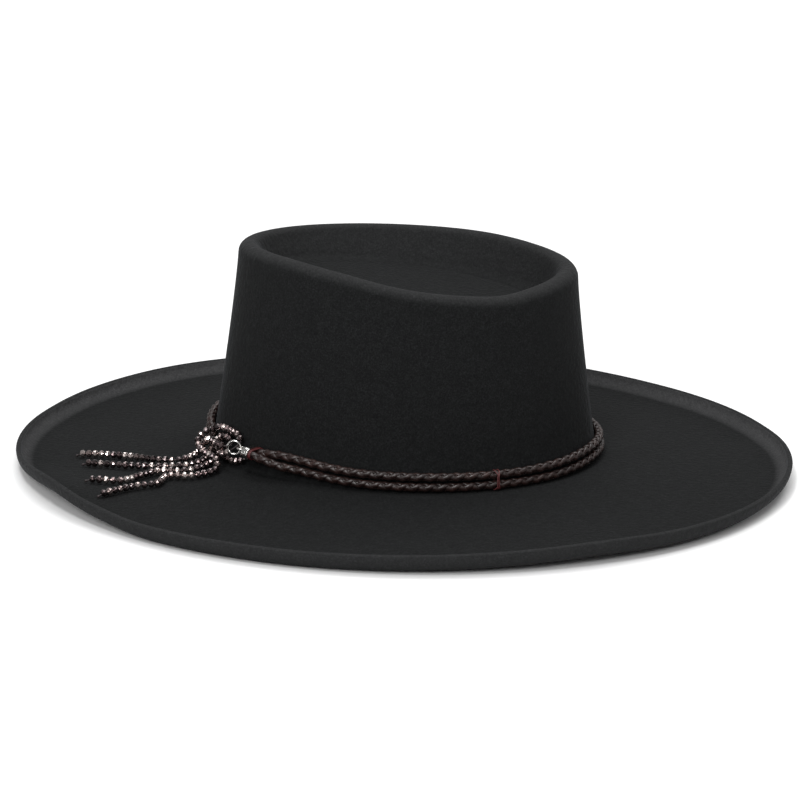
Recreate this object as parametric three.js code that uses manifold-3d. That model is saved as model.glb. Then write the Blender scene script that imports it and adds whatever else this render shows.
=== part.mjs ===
// A gaucho hat in wool felt: a flat-topped oval crown whose tip is sunk inside a rounded rim, a wide
// flat brim whose cut edge curls up, and a band of two braided leather cords. The cords meet at the
// front left in a metal end cap with a ring, where doubled strings of glass beads are knotted and end
// in four tails that lie on the brim.
//
// Millimetres, +Z up, the hat standing on its brim. The front of the hat looks along -Y and its left
// side, as it is worn, along +X. Turns round the crown are in degrees from +X towards +Y.
import * as THREE from 'three';
import { mergeVertices } from 'three/addons/utils/BufferGeometryUtils.js';
import Module from 'manifold-3d';

// Felt body: crown and brim
const HEAD_LENGTH = 195.4; // inside of the opening, front to back
const HEAD_WIDTH = 163.4; // inside of the opening, side to side
const FELT = 2.6; // thickness of the felt
const BRIM_WIDTH = 102.8; // from the foot of the crown to the outermost edge
const BREAK_HEIGHT = 9.8; // top of the brim where the crown rises
const BREAK_RADIUS = 2.4; // hollow of the felt between brim and crown
const CURL_RADIUS = 9.3; // underside of the curled edge
const CURL_TURN = 88; // how far the edge curls, in degrees
const REST_WIDTH = 5.0; // flat ring of the underside, where the brim touches a table
const BRIM_SAG = 1.3; // power of the brim's fall from the crown to that ring
const EDGE_WAVE = 5.6; // highest lift of the edge off the table
const HAT_HEIGHT = 119.4; // highest point of the rim of the crown
const RIM_DROP = 14.6; // from the highest point of the rim to its lowest
const RIM_RADIUS = 5.8; // roll of the rim
const TOP_LENGTH = 176.0; // outside of the wall under the rim, front to back
const TOP_WIDTH = 150.0; // outside of the wall under the rim, side to side
const WALL_FLARE = 1.18; // power of the wall's flare towards the brim
const TIP_LENGTH = 147.0; // sunken tip inside its corner, front to back
const TIP_WIDTH = 114.0; // sunken tip inside its corner, side to side
const TIP_DEPTH = 24.4; // middle of the tip below the highest point of the rim
const TIP_TILT = 5.7; // the tip falls towards the back, in degrees
const TIP_CORNER = 6.0; // hollow corner between the tip and the inner wall

// How far the brim's edge is off the table, as a share of EDGE_WAVE
const EDGE_LIFTS = [
  { turn: -165, share: 0.30 },
  { turn: -140, share: 0.42 },
  { turn: -120, share: 0.20 },
  { turn: -106, share: 0 },
  { turn: -94, share: 0 },
  { turn: -80, share: 0.06 },
  { turn: -62, share: 1 },
  { turn: -50, share: 0.52 },
  { turn: -37, share: 0 },
  { turn: -18, share: 0 },
  { turn: 0, share: 0.12 },
  { turn: 14, share: 0.32 },
  { turn: 28, share: 0.52 },
  { turn: 44, share: 0.28 },
  { turn: 70, share: 0.26 },
  { turn: 95, share: 0.18 },
  { turn: 108, share: 0 },
  { turn: 133, share: 0 },
  { turn: 160, share: 0.26 },
];

// How far the rim is below its highest point, as a share of RIM_DROP
const RIM_DROPS = [
  { turn: -125, share: 0.24 },
  { turn: -103, share: 0.14 },
  { turn: -80, share: 0.04 },
  { turn: -50, share: 0 },
  { turn: -25, share: 0.22 },
  { turn: 0, share: 0.67 },
  { turn: 20, share: 0.90 },
  { turn: 36, share: 1 },
  { turn: 52, share: 0.88 },
  { turn: 70, share: 0.77 },
  { turn: 90, share: 0.75 },
  { turn: 124, share: 0.67 },
  { turn: 150, share: 0.54 },
  { turn: 180, share: 0.46 },
  { turn: 206, share: 0.37 },
];

const COLUMNS = 50; // flat strips round the hat

// Band of two leather cords
const CORD = 4.7; // thickness of a cord
const CORD_SIDES = 8;
const SHORT_STRIP = 0.3; // least step of a cord, as a share of a strip of the felt

// End cap over the cords' ends, and its ring
const CORD_SPLIT = 5.0; // between the middles of the two cords, which lie side by side in the cap
const CAP_ROOM = 0.4; // between the cords and the inside of the cap
const CAP_WALL = 0.6;
const CAP_DEPTH = 3.4; // of the mouth that the cords enter
const CAP_LENGTH = 7.9;
const CAP_NECK = 2.6; // thickness of the cap at its closed end
const CAP_SIDES = 16;
const CAP_MOUTH = [-45.8, 6.6, 12.3]; // turn, out and up of the middle of the mouth
const CAP_HEADING = [-50.4, 6.9, 12.8]; // a place that the closed end points at
const EYE_RADIUS = 1.75; // to the middle of the wire of the cap's eye
const EYE_WIRE = 1.1;
const EYE_STEPS = 14;
const RING_RADIUS = 3.5; // to the middle of its wire
const RING_WIRE = 1.3;
const RING_STEPS = 18;
const RING_FACE = -14; // compass of the ring's face, in degrees from +X towards +Y
const WIRE_SIDES = 6;

// Strings of beads
const BEAD = 4.0; // thickness of a bead
const BEAD_PITCH = 3.6; // from bead to bead along a string
const BEAD_WAIST = 1.9; // between two beads
const BEAD_SIDES = 10;
const THREAD = 1.0; // bare thread, where a string passes through the ring

// Routes of the two cords, from the end cap round the back of the crown to the knot: turn in degrees,
// gap from the wall to the cord, and lift of the cord's underside over the brim. The upper cord's lift
// is over the lower cord's thickness.
const LOWER_CORD = [
  { turn: -43.2, gap: 6.5, lift: 9.4 },
  { turn: -41, gap: 5.9, lift: 8.5 },
  { turn: -37, gap: 3.8, lift: 6.4 },
  { turn: -30, gap: 0.9, lift: 4.6 },
  { turn: -15, gap: 0.45, lift: 2.0 },
  { turn: 5, gap: 0.45, lift: 0.9 },
  { turn: 35, gap: 0.45, lift: 0.5 },
  { turn: 50, gap: 0.45, lift: 0.7 },
  { turn: 72, gap: 0.45, lift: 1.8 },
  { turn: 100, gap: 0.45, lift: 0.8 },
  { turn: 130, gap: 0.45, lift: 0.5 },
  { turn: 200, gap: 0.45, lift: 0.5 },
  { turn: 225, gap: 0.45, lift: 3.2 },
  { turn: 245, gap: 0.45, lift: 6.2 },
  { turn: 256, gap: 0.45, lift: 6.2 },
  { turn: 268, gap: 0.45, lift: 5.3 },
  { turn: 276, gap: 0.45, lift: 5.1 },
  { turn: 283, gap: 0.45, lift: 3.8 },
];
const UPPER_CORD = [
  { turn: -43.2, gap: 1.6, lift: 5.3 },
  { turn: -41, gap: 1.3, lift: 5.5 },
  { turn: -37, gap: 0.8, lift: 5.7 },
  { turn: -30, gap: 0.5, lift: 5.0 },
  { turn: -15, gap: 0.4, lift: 2.4 },
  { turn: 5, gap: 0.4, lift: 1.3 },
  { turn: 35, gap: 0.4, lift: 0.9 },
  { turn: 50, gap: 0.4, lift: 1.3 },
  { turn: 72, gap: 0.4, lift: 2.4 },
  { turn: 100, gap: 0.4, lift: 1.3 },
  { turn: 130, gap: 0.4, lift: 0.9 },
  { turn: 200, gap: 0.4, lift: 0.9 },
  { turn: 225, gap: 0.45, lift: 3.7 },
  { turn: 245, gap: 0.5, lift: 6.7 },
  { turn: 256, gap: 0.5, lift: 6.7 },
  { turn: 268, gap: 0.55, lift: 5.8 },
  { turn: 276, gap: 0.6, lift: 5.6 },
  { turn: 283, gap: 0.6, lift: 4.3 },
];

// Routes of the strings of beads: turn, distance out from the wall and height over the brim, to the
// middle of the beads. One string passes through the ring and its two legs are the upper tails, one
// comes back over the knot and ends in the lower tails, and one ties the front ends of the cords to
// the end cap.
const UPPER_STRING = [
  [-83, 68, 2.5],
  [-80.5, 55, 2.5],
  [-76.5, 43, 2.5],
  [-71, 32, 2.5],
  [-68.6, 24, 2.5],
  [-69.6, 17, 2.5],
  [-71.4, 12.8, 2.8],
  [-73.2, 9.4, 4.6],
  [-72.6, 7.9, 7.8],
  [-69.4, 8.4, 10.5],
  [-65.5, 7.8, 10.6],
  [-61.8, 8.9, 11.6],
  [-58.6, 10.0, 12.0],
  [-56.7, 7.4, 12.4],
  [-58.4, 4.4, 12.8],
  [-62.2, 2.7, 12.9],
  [-67, 2.7, 12.2],
  [-70.2, 3.0, 9.0],
  [-69.6, 5.4, 6.2],
  [-66.8, 9.6, 3.2],
  [-64.6, 14, 2.5],
  [-63.4, 24, 2.5],
  [-66, 36, 2.5],
  [-70, 50, 2.5],
  [-75.5, 67, 2.5],
];
const LOWER_STRING = [
  [-62.4, 76, 2.5],
  [-59.8, 63, 2.5],
  [-61.5, 51, 2.5],
  [-62.6, 40, 2.5],
  [-59.4, 28, 2.5],
  [-60, 18, 2.5],
  [-61.6, 11.4, 2.7],
  [-61.6, 7.0, 5.4],
  [-60.0, 8.0, 7.4],
  [-57.2, 9.8, 8.4],
  [-55.4, 7.4, 10.8],
  [-54.9, 3.6, 13.6],
  [-56.4, 2.7, 16.2],
  [-59.2, 2.6, 17.1],
  [-66, 2.6, 17.0],
  [-71, 3.0, 15.4],
  [-72.2, 5.2, 14.2],
  [-72.5, 9.1, 13.6],
  [-71.6, 12.6, 10.6],
  [-68.6, 13.7, 8.1],
  [-65.2, 13.6, 7.1],
  [-61, 13.4, 7.0],
  [-57.4, 13.6, 6.2],
  [-55.2, 15.4, 3.2],
  [-54.6, 20, 2.5],
  [-55.2, 30, 2.5],
  [-58.4, 40, 2.5],
  [-55.4, 50, 2.5],
  [-56, 62, 2.5],
  [-55, 81, 2.5],
];
const TIE_STRING = [
  [-75.2, 2.7, 10.6],
  [-74.4, 2.7, 7.2],
  [-72.2, 2.7, 3.8],
  [-67, 2.7, 2.5],
  [-60, 2.7, 2.5],
  [-55.4, 2.7, 3.6],
  [-52.2, 2.7, 6.4],
  [-51, 2.7, 9.4],
];

const radians = THREE.MathUtils.degToRad;
const lerp = THREE.MathUtils.lerp;

// Sizes of the ovals that follow from the driving dimensions
const footHalf = { long: HEAD_LENGTH / 2 + FELT, wide: HEAD_WIDTH / 2 + FELT };
const topHalf = { long: TOP_LENGTH / 2, wide: TOP_WIDTH / 2 };
const tipHalf = { long: TIP_LENGTH / 2, wide: TIP_WIDTH / 2 };
const curlReach = CURL_RADIUS * Math.sin(radians(CURL_TURN));
const restEnd = BRIM_WIDTH - curlReach;
const restStart = restEnd - REST_WIDTH;
const wallFoot = BREAK_HEIGHT + BREAK_RADIUS;
const STRIP = 360 / COLUMNS;

// A smooth value round the hat, through the rows of a table that are ordered by turn
function around(table, turn) {
  const count = table.length;
  const row = (i) => {
    const lap = Math.floor(i / count);
    const entry = table[i - lap * count];
    return { turn: entry.turn + 360 * lap, share: entry.share };
  };
  const first = table[0].turn;
  const wrapped = first + ((((turn - first) % 360) + 360) % 360);
  let i = 0;
  while (row(i + 1).turn <= wrapped) i += 1;
  const [a, b, c, d] = [row(i - 1), row(i), row(i + 1), row(i + 2)];
  const span = c.turn - b.turn;
  const flat = b.share === c.share;
  const slopeB = flat ? 0 : ((c.share - a.share) / (c.turn - a.turn)) * span;
  const slopeC = flat ? 0 : ((d.share - b.share) / (d.turn - b.turn)) * span;
  const startSlope = a.share === b.share ? 0 : slopeB;
  const endSlope = c.share === d.share ? 0 : slopeC;
  const t = (wrapped - b.turn) / span;
  const t2 = t * t;
  const t3 = t2 * t;
  return (
    (2 * t3 - 3 * t2 + 1) * b.share +
    (t3 - 2 * t2 + t) * startSlope +
    (3 * t2 - 2 * t3) * c.share +
    (t3 - t2) * endSlope
  );
}

const edgeLift = (turn) => EDGE_WAVE * Math.max(0, around(EDGE_LIFTS, turn));
const rimHeight = (turn) => HAT_HEIGHT - RIM_DROP * Math.max(0, around(RIM_DROPS, turn));

// A point on an oval with these half axes
function ovalPoint(long, wide, turn, z) {
  return new THREE.Vector3(wide * Math.cos(radians(turn)), long * Math.sin(radians(turn)), z);
}

// Height of the sunken tip at a place in plan
function tipHeight(y) {
  return HAT_HEIGHT - TIP_DEPTH - y * Math.tan(radians(TIP_TILT));
}

// Top of the brim at a distance out from the foot of the crown
function brimTop(turn, out) {
  const share = THREE.MathUtils.clamp((out - BREAK_RADIUS) / (restStart - BREAK_RADIUS), 0, 1);
  const fall = (BREAK_HEIGHT - FELT) * Math.pow(1 - share, BRIM_SAG);
  return FELT + fall + edgeLift(turn) * share * share;
}

// The crown's wall at a height: its half axes, and its lean from the vertical
function wallHalf(turn, z) {
  const wallHeight = rimHeight(turn) - RIM_RADIUS - wallFoot;
  const t = THREE.MathUtils.clamp((z - wallFoot) / wallHeight, 0, 1);
  const flare = Math.pow(1 - t, WALL_FLARE);
  const steepness = WALL_FLARE * Math.pow(1 - t, WALL_FLARE - 1);
  const slope = (steepness * (footHalf.long - topHalf.long)) / wallHeight;
  return {
    long: lerp(topHalf.long, footHalf.long, flare),
    wide: lerp(topHalf.wide, footHalf.wide, flare),
    lean: Math.atan(slope),
  };
}

// One station of the felt's outer skin: half axes, height, and the slope of the skin as the angle of
// its normal above the horizontal. Stations with inner: false have no twin on the inner skin.
function station(half, grow, z, normal, inner = true) {
  return { long: half.long + grow, wide: half.wide + grow, z, normal, inner };
}

// The felt's outer skin at one turn, from the tip's edge over the rim and down to the lip
function feltSection(turn) {
  const stations = [];
  const y = Math.sin(radians(turn));
  // Flat of the sunken tip
  for (const [share, inner] of [[0.5, false], [0.82, true]]) {
    const half = { long: tipHalf.long * share, wide: tipHalf.wide * share };
    stations.push(station(half, 0, tipHeight(half.long * y), 90, inner));
  }
  // Corner between the tip and the inner wall, which leans to the roll of the rim
  const crest = { long: topHalf.long - RIM_RADIUS, wide: topHalf.wide - RIM_RADIUS };
  const rollFoot = rimHeight(turn) - RIM_RADIUS;
  const floor = tipHeight(tipHalf.long * y);
  const endRun = crest.long - RIM_RADIUS - tipHalf.long;
  const sideRun = crest.wide - RIM_RADIUS - tipHalf.wide;
  const run = lerp(sideRun, endRun, y * y);
  const lean = THREE.MathUtils.radToDeg(Math.atan2(run, rollFoot - floor));
  for (const [share, inner] of [[0, true], [0.5, false], [1, true]]) {
    const angle = share * (90 - lean);
    const grow = TIP_CORNER * (Math.sin(radians(angle)) - 1);
    const z = floor + TIP_CORNER * (1 - Math.cos(radians(angle)));
    stations.push(station(tipHalf, grow, z, 90 + angle, inner));
  }
  // Roll of the rim, from the inside over the crest to the outside
  for (const [share, inner] of [[0, true], [0.28, false], [0.52, true], [0.76, false], [1, true]]) {
    const angle = lerp(180 - lean, 35, share);
    const grow = RIM_RADIUS * Math.cos(radians(angle));
    stations.push(station(crest, grow, rollFoot + RIM_RADIUS * Math.sin(radians(angle)), angle, inner));
  }
  // Outer wall of the crown
  for (const [share, inner] of [[1, true], [0.7, false], [0.4, true], [0.12, true], [0, false]]) {
    const z = lerp(wallFoot, rollFoot, share);
    const half = wallHalf(turn, z);
    stations.push(station(half, 0, z, share === 0 ? 0 : THREE.MathUtils.radToDeg(half.lean), inner));
  }
  // Break between crown and brim
  for (const [angle, inner] of [[40, false], [90, true]]) {
    const grow = BREAK_RADIUS * (1 - Math.cos(radians(angle)));
    const z = wallFoot - BREAK_RADIUS * Math.sin(radians(angle));
    stations.push(station(footHalf, grow, z, angle, inner));
  }
  // Brim to the ring that touches the table
  for (const [share, inner] of [[0.3, false], [0.65, true]]) {
    const out = lerp(BREAK_RADIUS, restStart, share);
    stations.push(station(footHalf, out, brimTop(turn, out), 90, inner));
  }
  const low = edgeLift(turn);
  stations.push(station(footHalf, restStart, low + FELT, 90));
  stations.push(station(footHalf, restEnd, low + FELT, 90));
  // Curled edge
  for (const share of [0.28, 0.52, 0.76, 1]) {
    const angle = share * CURL_TURN;
    const reach = CURL_RADIUS - FELT;
    const z = low + CURL_RADIUS - reach * Math.cos(radians(angle));
    stations.push(station(footHalf, restEnd + reach * Math.sin(radians(angle)), z, 90 + angle));
  }
  return stations;
}

// A closed skin through rings of points that share one count, ended by a fan to each given point
function closedSkin(rings, startPoint, endPoint) {
  const count = rings[0].length;
  const positions = [];
  for (const ring of rings) {
    for (const point of ring) positions.push(point.x, point.y, point.z);
  }
  const startIndex = positions.length / 3;
  positions.push(startPoint.x, startPoint.y, startPoint.z);
  const endIndex = positions.length / 3;
  positions.push(endPoint.x, endPoint.y, endPoint.z);
  const faces = [];
  for (let k = 0; k + 1 < rings.length; k += 1) {
    for (let j = 0; j < count; j += 1) {
      const next = (j + 1) % count;
      const a = k * count + j;
      const b = k * count + next;
      const c = (k + 1) * count + next;
      const d = (k + 1) * count + j;
      faces.push(a, c, b, a, d, c);
    }
  }
  const last = (rings.length - 1) * count;
  for (let j = 0; j < count; j += 1) {
    const next = (j + 1) % count;
    faces.push(startIndex, j, next);
    faces.push(endIndex, last + next, last + j);
  }
  const geometry = new THREE.BufferGeometry();
  geometry.setAttribute('position', new THREE.Float32BufferAttribute(positions, 3));
  geometry.setIndex(faces);
  geometry.computeVertexNormals();
  return geometry;
}

// The ring of points through one station of every section, sunk to a depth in the felt
function ringThrough(sections, k, depth) {
  return sections.map(({ turn, stations }) => {
    const { long, wide, z, normal } = stations[k];
    const inward = depth * Math.cos(radians(normal));
    return ovalPoint(long - inward, wide - inward, turn, z - depth * Math.sin(radians(normal)));
  });
}

// Crown and brim in one piece of felt of even thickness
function feltGeometry() {
  const sections = [];
  for (let j = 0; j < COLUMNS; j += 1) {
    sections.push({ turn: j * STRIP, stations: feltSection(j * STRIP) });
  }
  const outerRings = [];
  const innerRings = [];
  sections[0].stations.forEach(({ inner }, k) => {
    outerRings.push(ringThrough(sections, k, 0));
    if (inner) innerRings.unshift(ringThrough(sections, k, FELT));
  });
  const top = new THREE.Vector3(0, 0, tipHeight(0));
  const under = new THREE.Vector3(0, 0, tipHeight(0) - FELT);
  return closedSkin([...outerRings, ...innerRings], top, under);
}

// A circle of points round a centre, in the plane of two unit vectors
function loop(centre, across, upwards, radius, sides) {
  const points = [];
  for (let j = 0; j < sides; j += 1) {
    const angle = (2 * Math.PI * j) / sides;
    const point = centre.clone();
    point.addScaledVector(across, radius * Math.cos(angle));
    point.addScaledVector(upwards, radius * Math.sin(angle));
    points.push(point);
  }
  return points;
}

// A place beside the crown: turn in degrees, distance out from the wall, and height over the brim
function place([turn, out, up]) {
  const z = brimTop(turn, Math.max(0, out)) + up;
  const half = wallHalf(turn, z);
  return ovalPoint(half.long + out, half.wide + out, turn, z);
}

// Where the cap lies: the middle of its mouth, and its own directions along, across and up
const capMouth = place(CAP_MOUTH);
const capLine = place(CAP_HEADING).sub(capMouth).normalize();
const capAcross = new THREE.Vector3(0, 0, 1).cross(capLine).normalize();
const capUp = capLine.clone().cross(capAcross).normalize();
const inCap = (along, across) =>
  capMouth.clone().addScaledVector(capLine, along).addScaledVector(capAcross, across);
const eyeCentre = inCap(CAP_LENGTH + EYE_RADIUS, 0);

// A round leather cord from inside the end cap along a route of rows that are smoothed in between. It
// bends where the strips of the felt do. side is +1 for the cord that lies outwards in the cap, -1
// for the other; under is what lies between the brim and the cord.
function cordGeometry(route, side, under) {
  const rows = route.map(({ turn, gap, lift }) => {
    return new THREE.Vector3(turn, gap + CORD / 2, under + lift + CORD / 2);
  });
  const curve = new THREE.CatmullRomCurve3(rows, false, 'centripetal');
  const atTurn = (turn) => {
    let low = 0;
    let high = 1;
    for (let n = 0; n < 40; n += 1) {
      const middle = (low + high) / 2;
      if (curve.getPoint(middle).x < turn) low = middle;
      else high = middle;
    }
    const { y: out, z: up } = curve.getPoint(low);
    return place([turn, out, up]);
  };
  const across = (side * CORD_SPLIT) / 2;
  const centres = [CAP_DEPTH - CAP_ROOM, 0, -CORD / 2].map((along) => inCap(along, across));
  const first = route[0].turn;
  const last = route.at(-1).turn;
  const turns = [first];
  for (let turn = STRIP * Math.ceil(first / STRIP); turn < last; turn += STRIP) {
    if (turn > first + SHORT_STRIP * STRIP && turn < last - SHORT_STRIP * STRIP) turns.push(turn);
  }
  centres.push(...turns.map(atTurn), atTurn(last));
  const rings = centres.map((centre, i) => {
    const ahead = centres[Math.min(i + 1, centres.length - 1)];
    const behind = centres[Math.max(i - 1, 0)];
    const along = ahead.clone().sub(behind).normalize();
    const sideways = along.clone().cross(new THREE.Vector3(0, 0, 1)).normalize();
    const upwards = sideways.clone().cross(along).normalize();
    return loop(centre, sideways, upwards, CORD / 2, CORD_SIDES);
  });
  return closedSkin(rings, centres[0], centres.at(-1));
}

// A string of beads along a route of places: each bead is a double cone between two waists of thread.
// Where the string passes through the ring, from one share of its length to another, it is bare.
function beadGeometry(route, bareFrom = 1, bareTo = 1) {
  const curve = new THREE.CatmullRomCurve3(route.map(place), false, 'centripetal');
  curve.arcLengthDivisions = 2000;
  const steps = 2 * Math.round(curve.getLength() / BEAD_PITCH);
  const frames = curve.computeFrenetFrames(steps, false);
  const rings = [];
  for (let i = 0; i <= steps; i += 1) {
    const share = i / steps;
    const bare = share > bareFrom && share < bareTo;
    const onBead = i % 2 === 1;
    const beaded = onBead ? BEAD : BEAD_WAIST;
    const radius = (bare ? THREAD : beaded) / 2;
    const point = curve.getPointAt(share);
    rings.push(loop(point, frames.binormals[i], frames.normals[i], radius, BEAD_SIDES));
  }
  return closedSkin(rings, curve.getPointAt(0), curve.getPointAt(1));
}

const wasm = await Module();
wasm.setup();

// One closed body from overlapping closed geometries
function joined(geometries) {
  const solids = geometries.map((geometry) => {
    const plain = geometry.clone();
    plain.deleteAttribute('normal');
    plain.deleteAttribute('uv');
    const merged = mergeVertices(plain, 1e-4);
    const vertProperties = new Float32Array(merged.attributes.position.array);
    const triVerts = new Uint32Array(merged.index.array);
    return new wasm.Manifold(new wasm.Mesh({ numProp: 3, vertProperties, triVerts }));
  });
  const mesh = solids.reduce((all, solid) => all.add(solid)).getMesh();
  const geometry = new THREE.BufferGeometry();
  geometry.setAttribute('position', new THREE.BufferAttribute(new Float32Array(mesh.vertProperties), 3));
  geometry.setIndex(new THREE.BufferAttribute(new Uint32Array(mesh.triVerts), 1));
  geometry.computeVertexNormals();
  return geometry;
}

// A ring of the cap: a circle of this radius, drawn out across the cap by a split
function capRing(along, radius, split) {
  const circle = loop(inCap(along, 0), capAcross, capUp, radius, CAP_SIDES);
  return circle.map((point, j) => {
    const side = Math.cos((2 * Math.PI * j) / CAP_SIDES);
    const apart = Math.abs(side) < 1e-6 ? 0 : Math.sign(side) * split;
    return point.addScaledVector(capAcross, apart / 2);
  });
}

// The cap: a long round cup over both cords that draws in to a neck with an eye
function capGeometry() {
  const inside = CORD / 2 + CAP_ROOM;
  const outside = inside + CAP_WALL;
  const rings = [
    capRing(CAP_LENGTH, CAP_NECK / 2, 0),
    capRing(CAP_LENGTH - CAP_WALL, CAP_NECK / 2, 0),
    capRing(CAP_DEPTH + CAP_WALL, outside, CORD_SPLIT),
    capRing(0, outside, CORD_SPLIT),
    capRing(0, inside, CORD_SPLIT),
    capRing(CAP_DEPTH, inside, CORD_SPLIT),
  ];
  const cup = closedSkin(rings, inCap(CAP_LENGTH, 0), inCap(CAP_DEPTH, 0));
  const eye = new THREE.TorusGeometry(EYE_RADIUS, EYE_WIRE / 2, WIRE_SIDES, EYE_STEPS);
  const turned = new THREE.Matrix4().makeBasis(capLine, capAcross, capUp);
  eye.applyMatrix4(turned.setPosition(eyeCentre));
  return joined([cup, eye]);
}

// The ring hangs in the eye by its wire and faces away from the crown
function ringGeometry() {
  const upright = new THREE.Vector3(0, 0, 1);
  const face = new THREE.Vector3(Math.cos(radians(RING_FACE)), Math.sin(radians(RING_FACE)), 0);
  const side = upright.clone().cross(face);
  const centre = eyeCentre.clone().addScaledVector(side, -RING_RADIUS);
  const ring = new THREE.TorusGeometry(RING_RADIUS, RING_WIRE / 2, WIRE_SIDES, RING_STEPS);
  return ring.applyMatrix4(new THREE.Matrix4().makeBasis(side, upright, face).setPosition(centre));
}

const hat = new THREE.Group();

function addPiece(name, geometry, material) {
  const mesh = new THREE.Mesh(geometry, material);
  mesh.name = name;
  hat.add(mesh);
}

const felt = new THREE.MeshStandardMaterial({ color: 0x232323, roughness: 0.95, metalness: 0 });
addPiece('felt_body', feltGeometry(), felt);

const leather = () => new THREE.MeshStandardMaterial({ color: 0x2a1a17, roughness: 0.45, metalness: 0 });
addPiece('cord_lower', cordGeometry(LOWER_CORD, 1, 0), leather());
addPiece('cord_upper', cordGeometry(UPPER_CORD, -1, CORD), leather());

const metal = () => new THREE.MeshStandardMaterial({ color: 0xc9c9c6, roughness: 0.15, metalness: 1 });
addPiece('end_cap', capGeometry(), metal());
addPiece('ring', ringGeometry(), metal());

const beads = () => new THREE.MeshStandardMaterial({ color: 0x5a4340, roughness: 0.2, metalness: 0.6 });
addPiece('bead_string_upper', beadGeometry(UPPER_STRING, 0.493, 0.535), beads());
addPiece('bead_string_lower', beadGeometry(LOWER_STRING, 0.375, 0.412), beads());
addPiece('bead_string_tie', beadGeometry(TIE_STRING), beads());

export default hat;
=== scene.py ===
# %% [markdown]
# # A gaucho hat in black wool felt
# The hat is one shaped skin of felt, with a band of two braided leather cords. At the front left the
# cords end in a small silver cap, and strings of glass beads are knotted through its ring.
# The imported model gives the frame: where the hat stands and where each piece lies. It is loaded first.

# %% Load the frame
import math
import bpy
import numpy as np
from mathutils import Matrix, Vector


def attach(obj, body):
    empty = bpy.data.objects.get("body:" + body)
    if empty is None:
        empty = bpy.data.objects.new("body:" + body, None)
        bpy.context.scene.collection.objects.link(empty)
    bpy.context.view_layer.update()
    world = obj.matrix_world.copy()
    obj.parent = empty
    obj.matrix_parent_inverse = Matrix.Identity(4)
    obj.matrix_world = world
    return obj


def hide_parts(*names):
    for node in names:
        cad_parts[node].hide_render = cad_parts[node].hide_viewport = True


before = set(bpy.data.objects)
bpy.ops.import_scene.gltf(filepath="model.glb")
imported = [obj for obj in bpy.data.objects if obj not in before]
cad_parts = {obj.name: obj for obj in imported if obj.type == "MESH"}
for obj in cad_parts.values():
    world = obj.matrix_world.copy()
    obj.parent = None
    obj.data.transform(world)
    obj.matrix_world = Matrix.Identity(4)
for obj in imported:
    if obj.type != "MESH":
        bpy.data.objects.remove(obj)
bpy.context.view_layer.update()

# %% [markdown]
# ## Camera
# The photograph was taken with a long lens from the hat's left side and a little above, and the camera
# was tipped by about a degree. The camera is placed by its distance and its angle above the floor, and
# aimed so that one known point of the hat falls on its place in the picture.

# %% Place the camera
MM = 0.001
PICTURE = 800  # pixels along a side of the photograph
FOCAL_PIXELS = 3040
SENSOR = 36.0  # millimetres, as on a full-frame camera
CAMERA_DISTANCE = 1600 * MM
CAMERA_RISE = math.radians(16.5)
CAMERA_ROLL = math.radians(1.284)
AIM_POINT = Vector((0, 0, 8.5 * MM))
AIM_PIXEL = (404.4, 446.4)

camera_data = bpy.data.cameras.new("camera")
camera = bpy.data.objects.new("camera", camera_data)
bpy.context.scene.collection.objects.link(camera)
camera_data.sensor_width = SENSOR
camera_data.lens = SENSOR * FOCAL_PIXELS / PICTURE
camera_data.clip_start = 50 * MM
away = Vector((math.cos(CAMERA_RISE), 0, math.sin(CAMERA_RISE)))
camera.location = AIM_POINT + away * CAMERA_DISTANCE
turned = away.to_track_quat("Z", "Y") @ Matrix.Rotation(CAMERA_ROLL, 3, "Z").to_quaternion()
yaw = math.atan((AIM_PIXEL[0] - PICTURE / 2) / FOCAL_PIXELS)
pitch = math.atan((AIM_PIXEL[1] - PICTURE / 2) / FOCAL_PIXELS)
nudge = Matrix.Rotation(yaw, 3, "Y") @ Matrix.Rotation(pitch, 3, "X")
camera.rotation_mode = "QUATERNION"
camera.rotation_quaternion = turned @ nudge.to_quaternion()
bpy.context.scene.camera = camera
print("lens in mm:", round(camera_data.lens, 1))

# %% [markdown]
# ## Small helpers
# Everything is measured in millimetres and turned to metres once, where a mesh is made. Colours are
# picked as sRGB hex values, as from a swatch, and one function turns them to the linear values that
# shaders add up. Node trees, for materials and for geometry alike, are built with one function.

# %% Helpers for colours, nodes and meshes
def linear(swatch):
    """The linear colour of an sRGB hex value such as '3a2c28'."""
    channels = [int(swatch[i:i + 2], 16) / 255 for i in (0, 2, 4)]
    return [c / 12.92 if c <= 0.04045 else ((c + 0.055) / 1.055) ** 2.4 for c in channels] + [1.0]


def add(tree, kind, inputs=None, **settings):
    """Adds a node, sets it up, and gives its inputs a value or another node's output."""
    node = tree.nodes.new(kind)
    for name, value in settings.items():
        setattr(node, name, value)
    for key, value in (inputs or {}).items():
        if isinstance(value, bpy.types.Node):
            value = value.outputs[0]
        if isinstance(value, bpy.types.NodeSocket):
            tree.links.new(value, node.inputs[key])
        else:
            node.inputs[key].default_value = value
    return node


def new_material(name):
    """An empty node material, with its tree."""
    material = bpy.data.materials.new(name)
    material.use_nodes = True
    material.node_tree.nodes.clear()
    return material, material.node_tree


def ramp(tree, factor, stops):
    """A colour ramp node through stops of (place, hex colour)."""
    node = add(tree, "ShaderNodeValToRGB", {"Fac": factor})
    elements = node.color_ramp.elements
    while len(elements) < len(stops):
        elements.new(0.5)
    for element, (place_on_ramp, swatch) in zip(elements, stops):
        element.position = place_on_ramp
        element.color = linear(swatch)
    return node


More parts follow.
